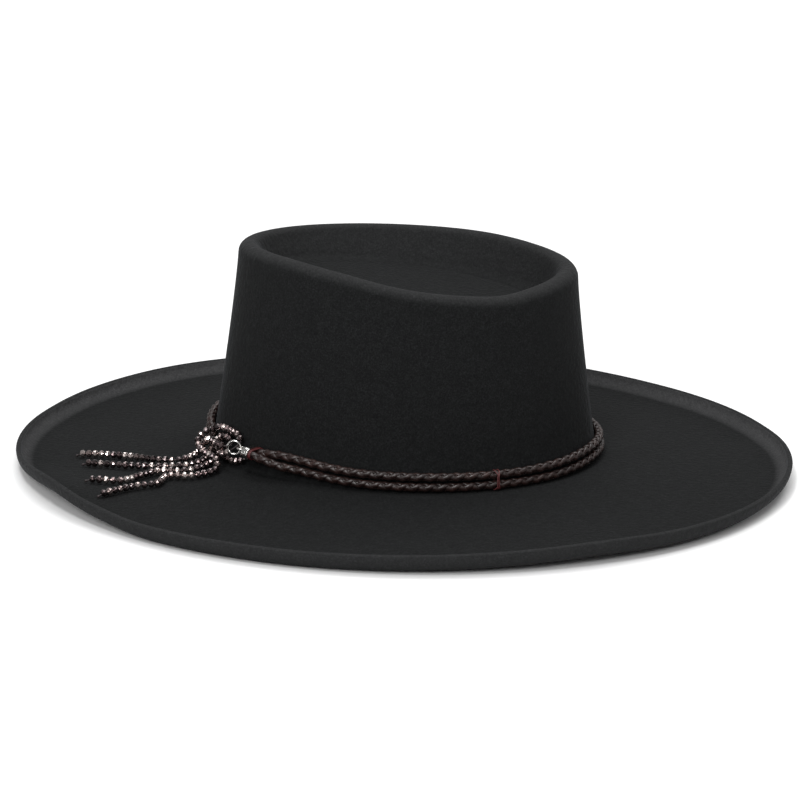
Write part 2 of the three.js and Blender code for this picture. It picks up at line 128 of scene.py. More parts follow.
def new_piece(name, points_mm, faces, material, smooth=True):
    """A mesh object from points in millimetres, at the origin of the frame."""
    mesh = bpy.data.meshes.new(name)
    mesh.from_pydata([tuple(p) for p in np.asarray(points_mm) * MM], [], faces)
    mesh.materials.append(material)
    mesh.shade_smooth() if smooth else mesh.shade_flat()
    mesh.update()
    piece = bpy.data.objects.new(name, mesh)
    bpy.context.scene.collection.objects.link(piece)
    return piece


def ring_faces(rings, count, closed=False):
    """Quads between closed rings of points in one list; closed also joins the last ring to the first."""
    k, j = np.meshgrid(np.arange(rings if closed else rings - 1), np.arange(count), indexing="ij")
    next_k, next_j = (k + 1) % rings, (j + 1) % count
    quads = np.stack([k * count + j, next_k * count + j, next_k * count + next_j, k * count + next_j], -1)
    return quads.reshape(-1, 4).tolist()


def closed_skin(rings):
    """Points and faces through rings of one size, with a fan over the first and the last."""
    count = len(rings[0])
    points = np.concatenate(list(rings) + [[rings[0].mean(0)], [rings[-1].mean(0)]])
    faces = ring_faces(len(rings), count)
    last = (len(rings) - 1) * count
    start, end = len(points) - 2, len(points) - 1
    for j in range(count):
        after = (j + 1) % count
        faces.append([start, j, after])
        faces.append([end, last + after, last + j])
    return points, faces


def dress(piece, slot, *nodes):
    """Puts a finished piece on the hat's one body, in the place of the nodes that it stands for."""
    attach(piece, "root")
    if nodes:
        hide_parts(*nodes)
    print(piece.name, "faces:", len(piece.data.polygons))


# %% [markdown]
# ## The felt's shape
# A felt body is blocked: steamed, pulled over a wooden block and pressed, so that its crown and brim
# are one skin of even thickness. It could be sculpted, but a block follows a rule, and so does this:
# one section is worked out at each turn round the hat, from a few sizes in millimetres. The crown
# breaks into the brim at its foot, the brim rests on a narrow flat band, and past it the edge curls up.
# Sag and flare are powers that bend the brim's and the wall's slope. Two short tables say where the
# brim's edge lifts off the table and where the crown's rim dips.

# %% Sizes of the felt
HEAD_LENGTH, HEAD_WIDTH = 195.4, 163.4
FELT = 2.6
BRIM_WIDTH = 102.8
BREAK_HEIGHT, BREAK_RADIUS = 9.8, 2.4
CURL_RADIUS, CURL_TURN = 9.3, math.radians(88)
REST_WIDTH, BRIM_SAG, EDGE_WAVE = 5.0, 1.3, 5.6
HAT_HEIGHT, RIM_DROP, RIM_RADIUS = 119.4, 14.6, 5.8
TOP_LENGTH, TOP_WIDTH, WALL_FLARE = 176.0, 150.0, 1.18
TIP_LENGTH, TIP_WIDTH, TIP_DEPTH = 147.0, 114.0, 24.4
TIP_TILT, TIP_CORNER = math.radians(5.7), 6.0

# turn in degrees from the wearer's left towards the back, and share of EDGE_WAVE or RIM_DROP
EDGE_LIFTS = [
    (-165, 0.30), (-140, 0.42), (-120, 0.20), (-106, 0), (-94, 0), (-80, 0.06), (-62, 1), (-50, 0.52),
    (-37, 0), (-18, 0), (0, 0.12), (14, 0.32), (28, 0.52), (44, 0.28), (70, 0.26), (95, 0.18),
    (108, 0), (133, 0), (160, 0.26),
]
RIM_DROPS = [
    (-125, 0.24), (-103, 0.14), (-80, 0.04), (-50, 0), (-25, 0.22), (0, 0.67), (20, 0.90), (36, 1),
    (52, 0.88), (70, 0.77), (90, 0.75), (124, 0.67), (150, 0.54), (180, 0.46), (206, 0.37),
]
foot_long, foot_wide = HEAD_LENGTH / 2 + FELT, HEAD_WIDTH / 2 + FELT
top_long, top_wide = TOP_LENGTH / 2, TOP_WIDTH / 2
tip_long, tip_wide = TIP_LENGTH / 2, TIP_WIDTH / 2
rest_end = BRIM_WIDTH - CURL_RADIUS * math.sin(CURL_TURN)
rest_start = rest_end - REST_WIDTH
wall_foot = BREAK_HEIGHT + BREAK_RADIUS


# %% Heights round the hat
def around(table, turns):
    """Smooth values through a table of (turn, share), at turns in degrees."""
    turn_of = np.array([row[0] for row in table], float)
    share_of = np.array([row[1] for row in table], float)
    turn_of = np.concatenate([turn_of[-1:] - 360, turn_of, turn_of[:2] + 360])
    share_of = np.concatenate([share_of[-1:], share_of, share_of[:2]])
    wrapped = turn_of[1] + (np.asarray(turns, float) - turn_of[1]) % 360
    i = np.clip(np.searchsorted(turn_of, wrapped, side="right") - 1, 1, len(table))
    span = turn_of[i + 1] - turn_of[i]
    flat = share_of[i] == share_of[i + 1]
    start = (share_of[i + 1] - share_of[i - 1]) / (turn_of[i + 1] - turn_of[i - 1]) * span
    end = (share_of[i + 2] - share_of[i]) / (turn_of[i + 2] - turn_of[i]) * span
    start = np.where(flat | (share_of[i - 1] == share_of[i]), 0, start)
    end = np.where(flat | (share_of[i + 1] == share_of[i + 2]), 0, end)
    t = (wrapped - turn_of[i]) / span
    return ((2 * t**3 - 3 * t**2 + 1) * share_of[i] + (t**3 - 2 * t**2 + t) * start
            + (3 * t**2 - 2 * t**3) * share_of[i + 1] + (t**3 - t**2) * end)


def edge_lift(turns):
    return EDGE_WAVE * np.maximum(0, around(EDGE_LIFTS, turns))


def rim_height(turns):
    return HAT_HEIGHT - RIM_DROP * np.maximum(0, around(RIM_DROPS, turns))


def tip_height(y):
    return HAT_HEIGHT - TIP_DEPTH - y * math.tan(TIP_TILT)


def brim_top(turns, out):
    """Height of the top of the brim at a distance out from the foot of the crown."""
    share = np.clip((out - BREAK_RADIUS) / (rest_start - BREAK_RADIUS), 0, 1)
    return FELT + (BREAK_HEIGHT - FELT) * (1 - share) ** BRIM_SAG + edge_lift(turns) * share**2


def wall_half(turns, z):
    """Half length, half width and lean of the crown's wall at a height."""
    wall_height = rim_height(turns) - RIM_RADIUS - wall_foot
    t = np.clip((z - wall_foot) / wall_height, 0, 1)
    flare = (1 - t) ** WALL_FLARE
    slope = WALL_FLARE * (foot_long - top_long) * (1 - t) ** (WALL_FLARE - 1) / wall_height
    half_long = top_long + (foot_long - top_long) * flare
    half_wide = top_wide + (foot_wide - top_wide) * flare
    return half_long, half_wide, np.arctan(slope)


def place(turn, out, up):
    """A point beside the crown: distance out from the wall and height over the brim."""
    z = float(brim_top(turn, max(0, out)) + up)
    half_long, half_wide, _ = wall_half(turn, z)
    a = math.radians(turn)
    return np.array([(half_wide + out) * math.cos(a), (half_long + out) * math.sin(a), z])


print("rim heights in mm at the left, back, right and front:", rim_height([0, 90, 180, -90]).round(1))

# %% [markdown]
# ## The felt's skin
# The section runs from the tip over the rolled rim and down the wall to the lip of the brim, and back
# along the inside. Each point of the outer skin has a twin one felt's thickness below it, along the
# skin's normal. The raw edge of the brim is cut, so it is flat with corners that are slightly worn.
# Each point also gets a number for painted light, which the material reads: a paler grey is painted
# most in the curl, and a little on the crest and on the wall inside the rim, as a painted highlight.

# %% Build the felt body
FELT_COLUMNS = 288
TIP_ROWS, CORNER_ROWS, ROLL_ROWS, WALL_ROWS, BREAK_ROWS, BRIM_ROWS, CURL_ROWS = 16, 7, 13, 26, 6, 26, 11
TIP_MIDDLE = 0.05  # the share of the tip that a fan of triangles covers
INNER_WALL_SHARES = (0.2, 0.4, 0.6, 0.8)
LEAN_SHARE = 1 / 8  # the share of the wall over which its normal turns level above the break
CUT_PROFILE = ((0.06, 0.25), (0.2, 0.5), (0.5, 0.6), (0.8, 0.5), (0.94, 0.25))  # share of depth, rise in mm
CREST_BAND = 4.5  # millimetres below the rim's highest line
# Shares of painted highlight on the crest, inside the rim, under the brim and on the cut edge.
CREST_PAINTED_LIGHT, INSIDE_PAINTED_LIGHT, UNDER_PAINTED_LIGHT, CUT_PAINTED_LIGHT = 0.19, 0.11, 0.18, 0.15


def outer_stations(turns):
    """Rows of (half length, half width, height, angle of the normal) from the tip to the lip."""
    rows = []
    sine = np.sin(np.radians(turns))
    same = np.ones_like(turns)
    corner_share = 1 - TIP_CORNER / tip_long
    for share in np.linspace(TIP_MIDDLE, corner_share, TIP_ROWS)[:-1]:
        rows.append((tip_long * share * same, tip_wide * share * same, tip_height(tip_long * share * sine),
                     math.pi / 2 * same))
    crest_long, crest_wide = top_long - RIM_RADIUS, top_wide - RIM_RADIUS
    roll_foot = rim_height(turns) - RIM_RADIUS
    floor = tip_height(tip_long * sine)
    end_run, side_run = crest_long - RIM_RADIUS - tip_long, crest_wide - RIM_RADIUS - tip_wide
    lean = np.arctan2(side_run + (end_run - side_run) * sine**2, roll_foot - floor)
    for share in np.linspace(0, 1, CORNER_ROWS):
        a = share * (math.pi / 2 - lean)
        grow = TIP_CORNER * (np.sin(a) - 1)
        rows.append((tip_long + grow, tip_wide + grow, floor + TIP_CORNER * (1 - np.cos(a)), math.pi / 2 + a))
    wall_start = rows[-1]
    a = math.pi - lean
    wall_end = (crest_long + RIM_RADIUS * np.cos(a), crest_wide + RIM_RADIUS * np.cos(a),
                roll_foot + RIM_RADIUS * np.sin(a), a)
    for share in INNER_WALL_SHARES:
        rows.append(tuple(p * (1 - share) + q * share for p, q in zip(wall_start, wall_end)))
    for share in np.linspace(1, 0, ROLL_ROWS)[:-1]:
        a = (math.pi - lean) * share
        rows.append((crest_long + RIM_RADIUS * np.cos(a), crest_wide + RIM_RADIUS * np.cos(a),
                     roll_foot + RIM_RADIUS * np.sin(a), a))
    for share in np.linspace(1, 0, WALL_ROWS):
        z = wall_foot + (roll_foot - wall_foot) * share
        half_long, half_wide, wall_lean = wall_half(turns, z)
        rows.append((half_long, half_wide, z, wall_lean * min(1, share / LEAN_SHARE)))
    for a in np.linspace(0, math.pi / 2, BREAK_ROWS)[1:]:
        grow = BREAK_RADIUS * (1 - math.cos(a))
        rows.append(((foot_long + grow) * same, (foot_wide + grow) * same,
                     (wall_foot - BREAK_RADIUS * math.sin(a)) * same, a * same))
    for share in np.linspace(0, 1, BRIM_ROWS)[1:]:
        out = BREAK_RADIUS + (rest_start - BREAK_RADIUS) * share
        rows.append(((foot_long + out) * same, (foot_wide + out) * same, brim_top(turns, out),
                     math.pi / 2 * same))
    low = edge_lift(turns)
    for share in (0.5, 1):
        out = rest_start + REST_WIDTH * share
        rows.append(((foot_long + out) * same, (foot_wide + out) * same, low + FELT, math.pi / 2 * same))
    reach = CURL_RADIUS - FELT
    for share in np.linspace(0, 1, CURL_ROWS)[1:]:
        a = share * CURL_TURN
        out = rest_end + reach * math.sin(a)
        rows.append(((foot_long + out) * same, (foot_wide + out) * same,
                     low + CURL_RADIUS - reach * math.cos(a), (math.pi / 2 + a) * same))
    return rows


def felt_ring(row, turns, depth):
    """The points of one row, sunk to a depth in the felt."""
    half_long, half_wide, z, normal = row
    a = np.radians(turns)
    inward = depth * np.cos(normal)
    return np.stack([(half_wide - inward) * np.cos(a), (half_long - inward) * np.sin(a),
                     z - depth * np.sin(normal)], -1)


def painted_light_along(row, turns):
    """How much painted highlight a row gets: fully in the curl, less on the crest and inside it."""
    # The curl, the crest and the inner wall get a paler painted grey that stands for light catching the felt.
    curl = (row[0] - foot_long - rest_end) / (BRIM_WIDTH - rest_end)
    crest = 1 - (rim_height(turns) - row[2]) / CREST_BAND
    inside = np.clip(1 + (row[0] - tip_long) / TIP_CORNER, 0, 1) * (row[0] < top_long - RIM_RADIUS)
    return np.clip(np.maximum(np.maximum(curl, CREST_PAINTED_LIGHT * crest), INSIDE_PAINTED_LIGHT * inside), 0, 1)


def felt_points():
    """Points and faces of the felt, and the share of painted light at each point."""
    turns = np.arange(FELT_COLUMNS) * 360 / FELT_COLUMNS
    rows = outer_stations(turns)
    rings = [felt_ring(row, turns, 0) for row in rows]
    brushed = [painted_light_along(row, turns) for row in rows]
    lip = rows[-1]
    for depth_share, rise in CUT_PROFILE:
        ring = felt_ring(lip, turns, FELT * depth_share)
        ring[:, 2] += rise
        rings.append(ring)
        brushed.append(np.full(FELT_COLUMNS, CUT_PAINTED_LIGHT))
    rings += [felt_ring(row, turns, FELT) for row in reversed(rows)]
    brushed += [UNDER_PAINTED_LIGHT * painted_light_along(row, turns) for row in reversed(rows)]
    points, faces = closed_skin(rings)
    fan_centres = np.zeros(2)
    return points, faces, np.concatenate(brushed + [fan_centres])


# %% [markdown]
# ## Black wool felt
# Felt has no threads: wool fibres are matted, dyed and brushed, which leaves a short soft nap. It is
# nearly matt, with a little sheen where light grazes the nap. The number on the mesh mixes the dyed black
# with a paler grey, a painted highlight in the curl, on the crest and inside the rim. A single fibre is
# too fine to show, so the grain is drawn with noise at three coarser sizes: tufts of under a millimetre,
# wisps of a few millimetres that make the surface slightly uneven, and larger clumps that took the dye
# unevenly.

# %% Material for wool felt
NAP_SIZE, WISP_SIZE, CLUMP_SIZE = 0.8 * MM, 2.6 * MM, 5 * MM
NAP_SHARE, WISP_SHARE, CLUMP_SHARE = 0.8, 0.08, 0.12
wool_felt, tree = new_material("brushed wool felt")
where = add(tree, "ShaderNodeTexCoord").outputs["Object"]
clumps = add(tree, "ShaderNodeTexNoise", {"Vector": where, "Scale": 1 / CLUMP_SIZE, "Detail": 5,
                                          "Roughness": 0.6})
wisps = add(tree, "ShaderNodeTexNoise", {"Vector": where, "Scale": 1 / WISP_SIZE, "Detail": 2})
nap = add(tree, "ShaderNodeTexNoise", {"Vector": where, "Scale": 1 / NAP_SIZE, "Detail": 4,
                                       "Roughness": 0.7, "Distortion": 0.6})
some = add(tree, "ShaderNodeMath", {0: clumps, 1: CLUMP_SHARE}, operation="MULTIPLY")
more = add(tree, "ShaderNodeMath", {0: wisps, 1: WISP_SHARE, 2: some}, operation="MULTIPLY_ADD")
mottle = add(tree, "ShaderNodeMath", {0: nap, 1: NAP_SHARE, 2: more}, operation="MULTIPLY_ADD")
dye = ramp(tree, mottle, [(0.36, "0b0b0d"), (0.5, "131414"), (0.64, "202122")])
uneven = add(tree, "ShaderNodeBump", {"Height": wisps, "Strength": 0.7, "Distance": 0.8 * MM})
raised = add(tree, "ShaderNodeBump", {"Height": nap, "Normal": uneven, "Strength": 0.35,
                                      "Distance": 0.25 * MM})
# Painted light: the number on the mesh mixes in a paler grey as a highlight in the curl, on the crest and
# inside the rim.
brushed = add(tree, "ShaderNodeAttribute", attribute_name="brushed")
painted_light_grey = ramp(tree, mottle, [(0.36, "444445"), (0.5, "505051"), (0.66, "5d5d5e")])
COLOUR_A, COLOUR_B, COLOUR_OUT = 6, 7, 2  # sockets of the Mix node that carry colours
shade = add(tree, "ShaderNodeMix", {0: brushed.outputs["Fac"], COLOUR_A: dye, COLOUR_B: painted_light_grey},
            data_type="RGBA")
surface = add(tree, "ShaderNodeBsdfPrincipled", {
    "Base Color": shade.outputs[COLOUR_OUT], "Normal": raised, "Roughness": 0.95, "Specular IOR Level": 0.15,
    "Sheen Weight": 0.08, "Sheen Roughness": 0.2, "Sheen Tint": linear("c3c9d0"),
})
add(tree, "ShaderNodeOutputMaterial", {"Surface": surface})

# %% Finish the felt body
# The share of painted light is stored on the felt's points for the material to read.
points, faces, painted_light_share = felt_points()
felt_body = new_piece("felt", points, faces, wool_felt)
painted_light_layer = felt_body.data.attributes.new("brushed", "FLOAT", "POINT")
painted_light_layer.data.foreach_set("value", painted_light_share.astype(np.float32))
dress(felt_body, "felt", "felt_body")

# %% [markdown]
# ## Routes along the crown
# The cords and the strings of beads follow listed points, smoothed in between, which the packed
# model's solids follow too. A cord's rows are turn, gap from the wall and lift over the brim; the
# upper cord lies on the lower one.

# %% Routes of the cords
CORD = 4.7
CORD_STEPS, CAP_STEPS = 24, 4  # points between two rows of a table, and between two points in the cap
LOWER_CORD = [
    (-43.2, 6.5, 9.4), (-41, 5.9, 8.5), (-37, 3.8, 6.4), (-30, 0.9, 4.6), (-15, 0.45, 2.0), (5, 0.45, 0.9),
    (35, 0.45, 0.5), (50, 0.45, 0.7), (72, 0.45, 1.8), (100, 0.45, 0.8), (130, 0.45, 0.5), (200, 0.45, 0.5),
    (225, 0.45, 3.2), (245, 0.45, 6.2), (256, 0.45, 6.2), (268, 0.45, 5.3), (276, 0.45, 5.1),
    (283, 0.45, 3.8),
]
UPPER_CORD = [
    (-43.2, 1.6, 5.3), (-41, 1.3, 5.5), (-37, 0.8, 5.7), (-30, 0.5, 5.0), (-15, 0.4, 2.4), (5, 0.4, 1.3),
    (35, 0.4, 0.9), (50, 0.4, 1.3), (72, 0.4, 2.4), (100, 0.4, 1.3), (130, 0.4, 0.9), (200, 0.4, 0.9),
    (225, 0.45, 3.7), (245, 0.5, 6.7), (256, 0.5, 6.7), (268, 0.55, 5.8), (276, 0.6, 5.6), (283, 0.6, 4.3),
]
CORD_SPLIT = 5.0  # between the middles of the two cords in the cap
CAP_ROOM, CAP_WALL, CAP_DEPTH, CAP_LENGTH, CAP_NECK = 0.4, 0.6, 3.4, 7.9, 2.6
CAP_MOUTH = (-45.8, 6.6, 12.3)  # turn, distance from the wall and height over the brim
CAP_HEADING = (-50.4, 6.9, 12.8)  # a point that the cap's neck heads for


def smooth_path(points, per_span):
    """A centripetal Catmull-Rom curve through the points."""
    points = np.asarray(points, float)
    ends = [2 * points[0] - points[1], 2 * points[-1] - points[-2]]
    p = np.concatenate([ends[:1], points, ends[1:]])
    out = []
    for i in range(1, len(p) - 2):
        d = [max(1e-4, np.linalg.norm(p[i + k] - p[i + k - 1]) ** 0.5) for k in range(3)]
        m1 = ((p[i] - p[i - 1]) / d[0] - (p[i + 1] - p[i - 1]) / (d[0] + d[1])
              + (p[i + 1] - p[i]) / d[1]) * d[1]
        m2 = ((p[i + 1] - p[i]) / d[1] - (p[i + 2] - p[i]) / (d[1] + d[2])
              + (p[i + 2] - p[i + 1]) / d[2]) * d[1]
        t = np.linspace(0, 1, per_span, endpoint=False)[:, None]
        out.append((2 * t**3 - 3 * t**2 + 1) * p[i] + (t**3 - 2 * t**2 + t) * m1
                   + (3 * t**2 - 2 * t**3) * p[i + 1] + (t**3 - t**2) * m2)
    return np.concatenate(out + [points[-1:]])


def unit(v):
    return v / np.linalg.norm(v)


cap_mouth = place(*CAP_MOUTH)
cap_line = unit(place(*CAP_HEADING) - cap_mouth)
cap_across = unit(np.cross((0, 0, 1), cap_line))
cap_up = np.cross(cap_line, cap_across)


def in_cap(along, across):
    return cap_mouth + cap_line * along + cap_across * across


def cord_route(rows, side, under):
    """The middle of a cord, from inside the cap to its far end."""
    middle_rows = [(turn, gap + CORD / 2, under + lift + CORD / 2) for turn, gap, lift in rows]
    start = [in_cap(along, side * CORD_SPLIT / 2) for along in (CAP_DEPTH - CAP_ROOM, 0, -CORD / 2)]
    return (smooth_path(start, CAP_STEPS)[:-1].tolist()
            + [place(*row) for row in smooth_path(middle_rows, CORD_STEPS)])


# %% [markdown]
# ## Round braid
# Each cord is a round braid of four flat leather laces: two wind one way and two the other, and each
# goes over and under the laces that it crosses. Modelling every crossing by hand would take hours.
# Instead Geometry Nodes copy the route four times, push each copy out into its own spiral, which rises
# and sinks at the crossings, and sweep the lace's curved section along it. A round core fills the
# middle, as the laces are braided over one. The sizes of one cord follow with its material.

# %% Geometry nodes for a braid
def new_tree(name, sockets):
    """A geometry node group with named inputs, after the geometry that comes in."""
    group = bpy.data.node_groups.new(name, "GeometryNodeTree")
    group.interface.new_socket("Geometry", in_out="INPUT", socket_type="NodeSocketGeometry")
    for socket_name, kind in sockets:
        group.interface.new_socket(socket_name, in_out="INPUT", socket_type="NodeSocket" + kind)
    group.interface.new_socket("Geometry", in_out="OUTPUT", socket_type="NodeSocketGeometry")
    return group, add(group, "NodeGroupInput").outputs


def finish_tree(group, geometry, material):
    """Ends a tree: real geometry instead of instances, with its material."""
    real = add(group, "GeometryNodeRealizeInstances", {"Geometry": geometry})
    dressed = add(group, "GeometryNodeSetMaterial", {"Geometry": real, "Material": material})
    add(group, "NodeGroupOutput", {"Geometry": dressed})


def grow(name, source, group, values):
    """Runs a tree on an object and returns its result as a plain mesh object."""
    modifier = source.modifiers.new(name, "NODES")
    modifier.node_group = group
    for item in group.interface.items_tree:
        if item.in_out == "INPUT" and item.name in values:
            modifier[item.identifier] = values[item.name]
    bpy.context.view_layer.update()
    evaluated = source.evaluated_get(bpy.context.evaluated_depsgraph_get())
    mesh = bpy.data.meshes.new_from_object(evaluated)
    bpy.data.objects.remove(source)
    mesh.name = name
    piece = bpy.data.objects.new(name, mesh)
    bpy.context.scene.collection.objects.link(piece)
    return piece


def route_object(name, points_mm):
    """A curve object of one open line through points in millimetres."""
    curve = bpy.data.curves.new(name, "CURVE")
    curve.dimensions = "3D"
    spline = curve.splines.new("POLY")
    spline.points.add(len(points_mm) - 1)
    for point, place_mm in zip(spline.points, points_mm):
        point.co = (*(np.asarray(place_mm) * MM), 1)
    route = bpy.data.objects.new(name, curve)
    bpy.context.scene.collection.objects.link(route)
    return route


LACES = 4
SECTION_SIDES = 12
braid, given = new_tree("braid of four laces", [
    ("Step", "Float"), ("Lay", "Float"), ("Laces at", "Float"), ("Weave", "Float"), ("Core", "Float"),
    ("Lace width", "Float"), ("Lace thickness", "Float"), ("Lace bend", "Float"), ("Material", "Material"),
])
upright = add(braid, "GeometryNodeSetCurveNormal", {"Curve": given["Geometry"]}, mode="Z_UP")
even = add(braid, "GeometryNodeResampleCurve", {"Curve": upright, "Length": given["Step"]}, mode="LENGTH")
four = add(braid, "GeometryNodeDuplicateElements", {"Geometry": even, "Amount": LACES}, domain="SPLINE")
lace = four.outputs["Duplicate Index"]
odd = add(braid, "ShaderNodeMath", {0: lace, 1: 2.0}, operation="MODULO")
way = add(braid, "ShaderNodeMath", {0: odd, 1: -2.0, 2: 1.0}, operation="MULTIPLY_ADD")
phase = add(braid, "ShaderNodeMath", {0: lace, 1: 2 * math.pi / LACES}, operation="MULTIPLY")
along = add(braid, "GeometryNodeSplineParameter").outputs["Length"]
laps = add(braid, "ShaderNodeMath", {0: along, 1: given["Lay"]}, operation="DIVIDE")
swing = add(braid, "ShaderNodeMath", {0: laps, 1: 2 * math.pi}, operation="MULTIPLY")
angle = add(braid, "ShaderNodeMath", {0: way, 1: swing, 2: phase}, operation="MULTIPLY_ADD")
twice = add(braid, "ShaderNodeMath", {0: swing, 1: 2.0}, operation="MULTIPLY")
wave = add(braid, "ShaderNodeMath", {0: twice}, operation="SINE")
over = add(braid, "ShaderNodeMath", {0: wave, 1: way}, operation="MULTIPLY")
radius = add(braid, "ShaderNodeMath", {0: over, 1: given["Weave"], 2: given["Laces at"]},
             operation="MULTIPLY_ADD")
normal = add(braid, "GeometryNodeInputNormal")
tangent = add(braid, "GeometryNodeInputTangent")
sideways = add(braid, "ShaderNodeVectorMath", {0: tangent, 1: normal}, operation="CROSS_PRODUCT")
cosine = add(braid, "ShaderNodeMath", {0: angle}, operation="COSINE")
sine = add(braid, "ShaderNodeMath", {0: angle}, operation="SINE")
outward_a = add(braid, "ShaderNodeVectorMath", {0: normal, "Scale": cosine}, operation="SCALE")
outward_b = add(braid, "ShaderNodeVectorMath", {0: sideways, "Scale": sine}, operation="SCALE")
outward = add(braid, "ShaderNodeVectorMath", {0: outward_a, 1: outward_b}, operation="ADD")
kept = add(braid, "GeometryNodeCaptureAttribute", {"Geometry": four}, domain="POINT")
kept.capture_items.new("VECTOR", "Outward")
kept.capture_items.new("FLOAT", "Radius")
braid.links.new(outward.outputs[0], kept.inputs["Outward"])
braid.links.new(radius.outputs[0], kept.inputs["Radius"])
pushed = add(braid, "ShaderNodeVectorMath", {0: kept.outputs["Outward"], "Scale": kept.outputs["Radius"]},
             operation="SCALE")
spirals = add(braid, "GeometryNodeSetPosition", {"Geometry": kept, "Offset": pushed})
facing = add(braid, "GeometryNodeSetCurveNormal", {"Curve": spirals, "Normal": kept.outputs["Outward"]},
             mode="FREE")
circle = add(braid, "GeometryNodeCurvePrimitiveCircle", {"Resolution": SECTION_SIDES, "Radius": 1.0},
             mode="RADIUS")
spot = add(braid, "ShaderNodeSeparateXYZ", {0: add(braid, "GeometryNodeInputPosition")})
half_thick = add(braid, "ShaderNodeMath", {0: given["Lace thickness"], 1: 0.5}, operation="MULTIPLY")
half_width = add(braid, "ShaderNodeMath", {0: given["Lace width"], 1: 0.5}, operation="MULTIPLY")
squared = add(braid, "ShaderNodeMath", {0: spot.outputs["Y"], 1: spot.outputs["Y"]}, operation="MULTIPLY")
dip = add(braid, "ShaderNodeMath", {0: squared, 1: given["Lace bend"]}, operation="MULTIPLY")
thick = add(braid, "ShaderNodeMath", {0: spot.outputs["X"], 1: half_thick}, operation="MULTIPLY")
deep = add(braid, "ShaderNodeMath", {0: thick, 1: dip}, operation="SUBTRACT")
wide = add(braid, "ShaderNodeMath", {0: spot.outputs["Y"], 1: half_width}, operation="MULTIPLY")
section_point = add(braid, "ShaderNodeCombineXYZ", {"X": deep, "Y": wide})
section = add(braid, "GeometryNodeSetPosition", {"Geometry": circle, "Position": section_point})
swept = add(braid, "GeometryNodeCurveToMesh", {"Curve": facing, "Profile Curve": section, "Fill Caps": True})
core_circle = add(braid, "GeometryNodeCurvePrimitiveCircle", {
    "Resolution": SECTION_SIDES, "Radius": given["Core"]}, mode="RADIUS")
core = add(braid, "GeometryNodeCurveToMesh", {"Curve": even, "Profile Curve": core_circle, "Fill Caps": True})
round_cord = add(braid, "GeometryNodeJoinGeometry", {"Geometry": swept})
braid.links.new(core.outputs[0], round_cord.inputs["Geometry"])
finish_tree(braid, round_cord, given["Material"])

# %% [markdown]
# ## Braided leather
# The laces are cut from dark brown cowhide with a waxed face. Wax gives a satin gloss on the raised
# laces, under a faint harder coat. The hide's colour varies over a few millimetres, and its pores are a
# fine grain. Lay is the length in which a lace goes once round the cord.

# %% Material for waxed leather lace
PORE_SIZE, HIDE_SIZE = 0.35 * MM, 6 * MM
waxed_leather, tree = new_material("waxed leather lace")
where = add(tree, "ShaderNodeTexCoord").outputs["Object"]
hide = add(tree, "ShaderNodeTexNoise", {"Vector": where, "Scale": 1 / HIDE_SIZE, "Detail": 3})
pores = add(tree, "ShaderNodeTexVoronoi", {"Vector": where, "Scale": 1 / PORE_SIZE})
tan = ramp(tree, hide, [(0.3, "190e0c"), (0.55, "241512"), (0.75, "321e1a")])
grain = add(tree, "ShaderNodeBump", {"Height": pores, "Strength": 0.25, "Distance": 0.05 * MM})
surface = add(tree, "ShaderNodeBsdfPrincipled", {
    "Base Color": tan, "Normal": grain, "Roughness": 0.4, "Specular IOR Level": 0.42,
    "Coat Weight": 0.12, "Coat Roughness": 0.2,
})
add(tree, "ShaderNodeOutputMaterial", {"Surface": surface})

# %% Braid the two cords
BRAID = {
    "Step": 0.42 * MM, "Lay": 13.4 * MM, "Laces at": 1.56 * MM, "Weave": 0.27 * MM, "Core": 1.2 * MM,
    "Lace width": 2.8 * MM, "Lace thickness": 1.1 * MM, "Lace bend": 0.34 * MM, "Material": waxed_leather,
}
for name, rows, side, under in (("lower", LOWER_CORD, 1, 0), ("upper", UPPER_CORD, -1, CORD)):
    route = route_object("route", cord_route(rows, side, under))
    cord = grow(f"braided_cord_{name}", route, braid, BRAID)
    cord.data.shade_smooth()
    dress(cord, "leather", f"cord_{name}")

# %% [markdown]
# ## Silver end cap and ring
# The cap is pressed from thin brass and silver plated: an oval cup that both cords are glued into,
# drawn in to a neck with a soldered eye. A ring of round wire hangs in the eye. Rings of points drawn
# out across the cap give the cup, and the small steps between them give its pressed shoulder and the
# groove near its mouth. Polished plate mirrors its surroundings, dulled a little where it is handled.

# %% Material for silver plate
silver_plate, tree = new_material("polished silver plate")
where = add(tree, "ShaderNodeTexCoord").outputs["Object"]
SMEAR_SIZE = 1.5 * MM
handling = add(tree, "ShaderNodeTexNoise", {"Vector": where, "Scale": 1 / SMEAR_SIZE, "Detail": 4})
dulled = add(tree, "ShaderNodeMapRange", {"Value": handling, "To Min": 0.05, "To Max": 0.14})
surface = add(tree, "ShaderNodeBsdfPrincipled", {
    "Base Color": linear("d8d6d2"), "Metallic": 1.0, "Roughness": dulled.outputs["Result"],
})
add(tree, "ShaderNodeOutputMaterial", {"Surface": surface})

# %% Build the cap and the ring
EYE_RADIUS, EYE_WIRE = 1.75, 1.1
RING_RADIUS, RING_WIRE, RING_FACE = 3.5, 1.3, math.radians(-14)
CAP_SIDES, WIRE_STEPS, WIRE_SIDES = 48, 48, 14
END_ROUNDNESS = 6  # how soon the oval's round ends turn into its straight sides
WORN = 0.15  # how far a worn corner or a groove is drawn in


def cap_ring(along, radius, split):
    """A circle across the cap, drawn out by a split."""
    a = 2 * math.pi * np.arange(CAP_SIDES) / CAP_SIDES
    side = np.tanh(END_ROUNDNESS * np.cos(a)) * split / 2
    return (in_cap(along, 0) + np.outer(radius * np.cos(a) + side, cap_across)
            + np.outer(radius * np.sin(a), cap_up))


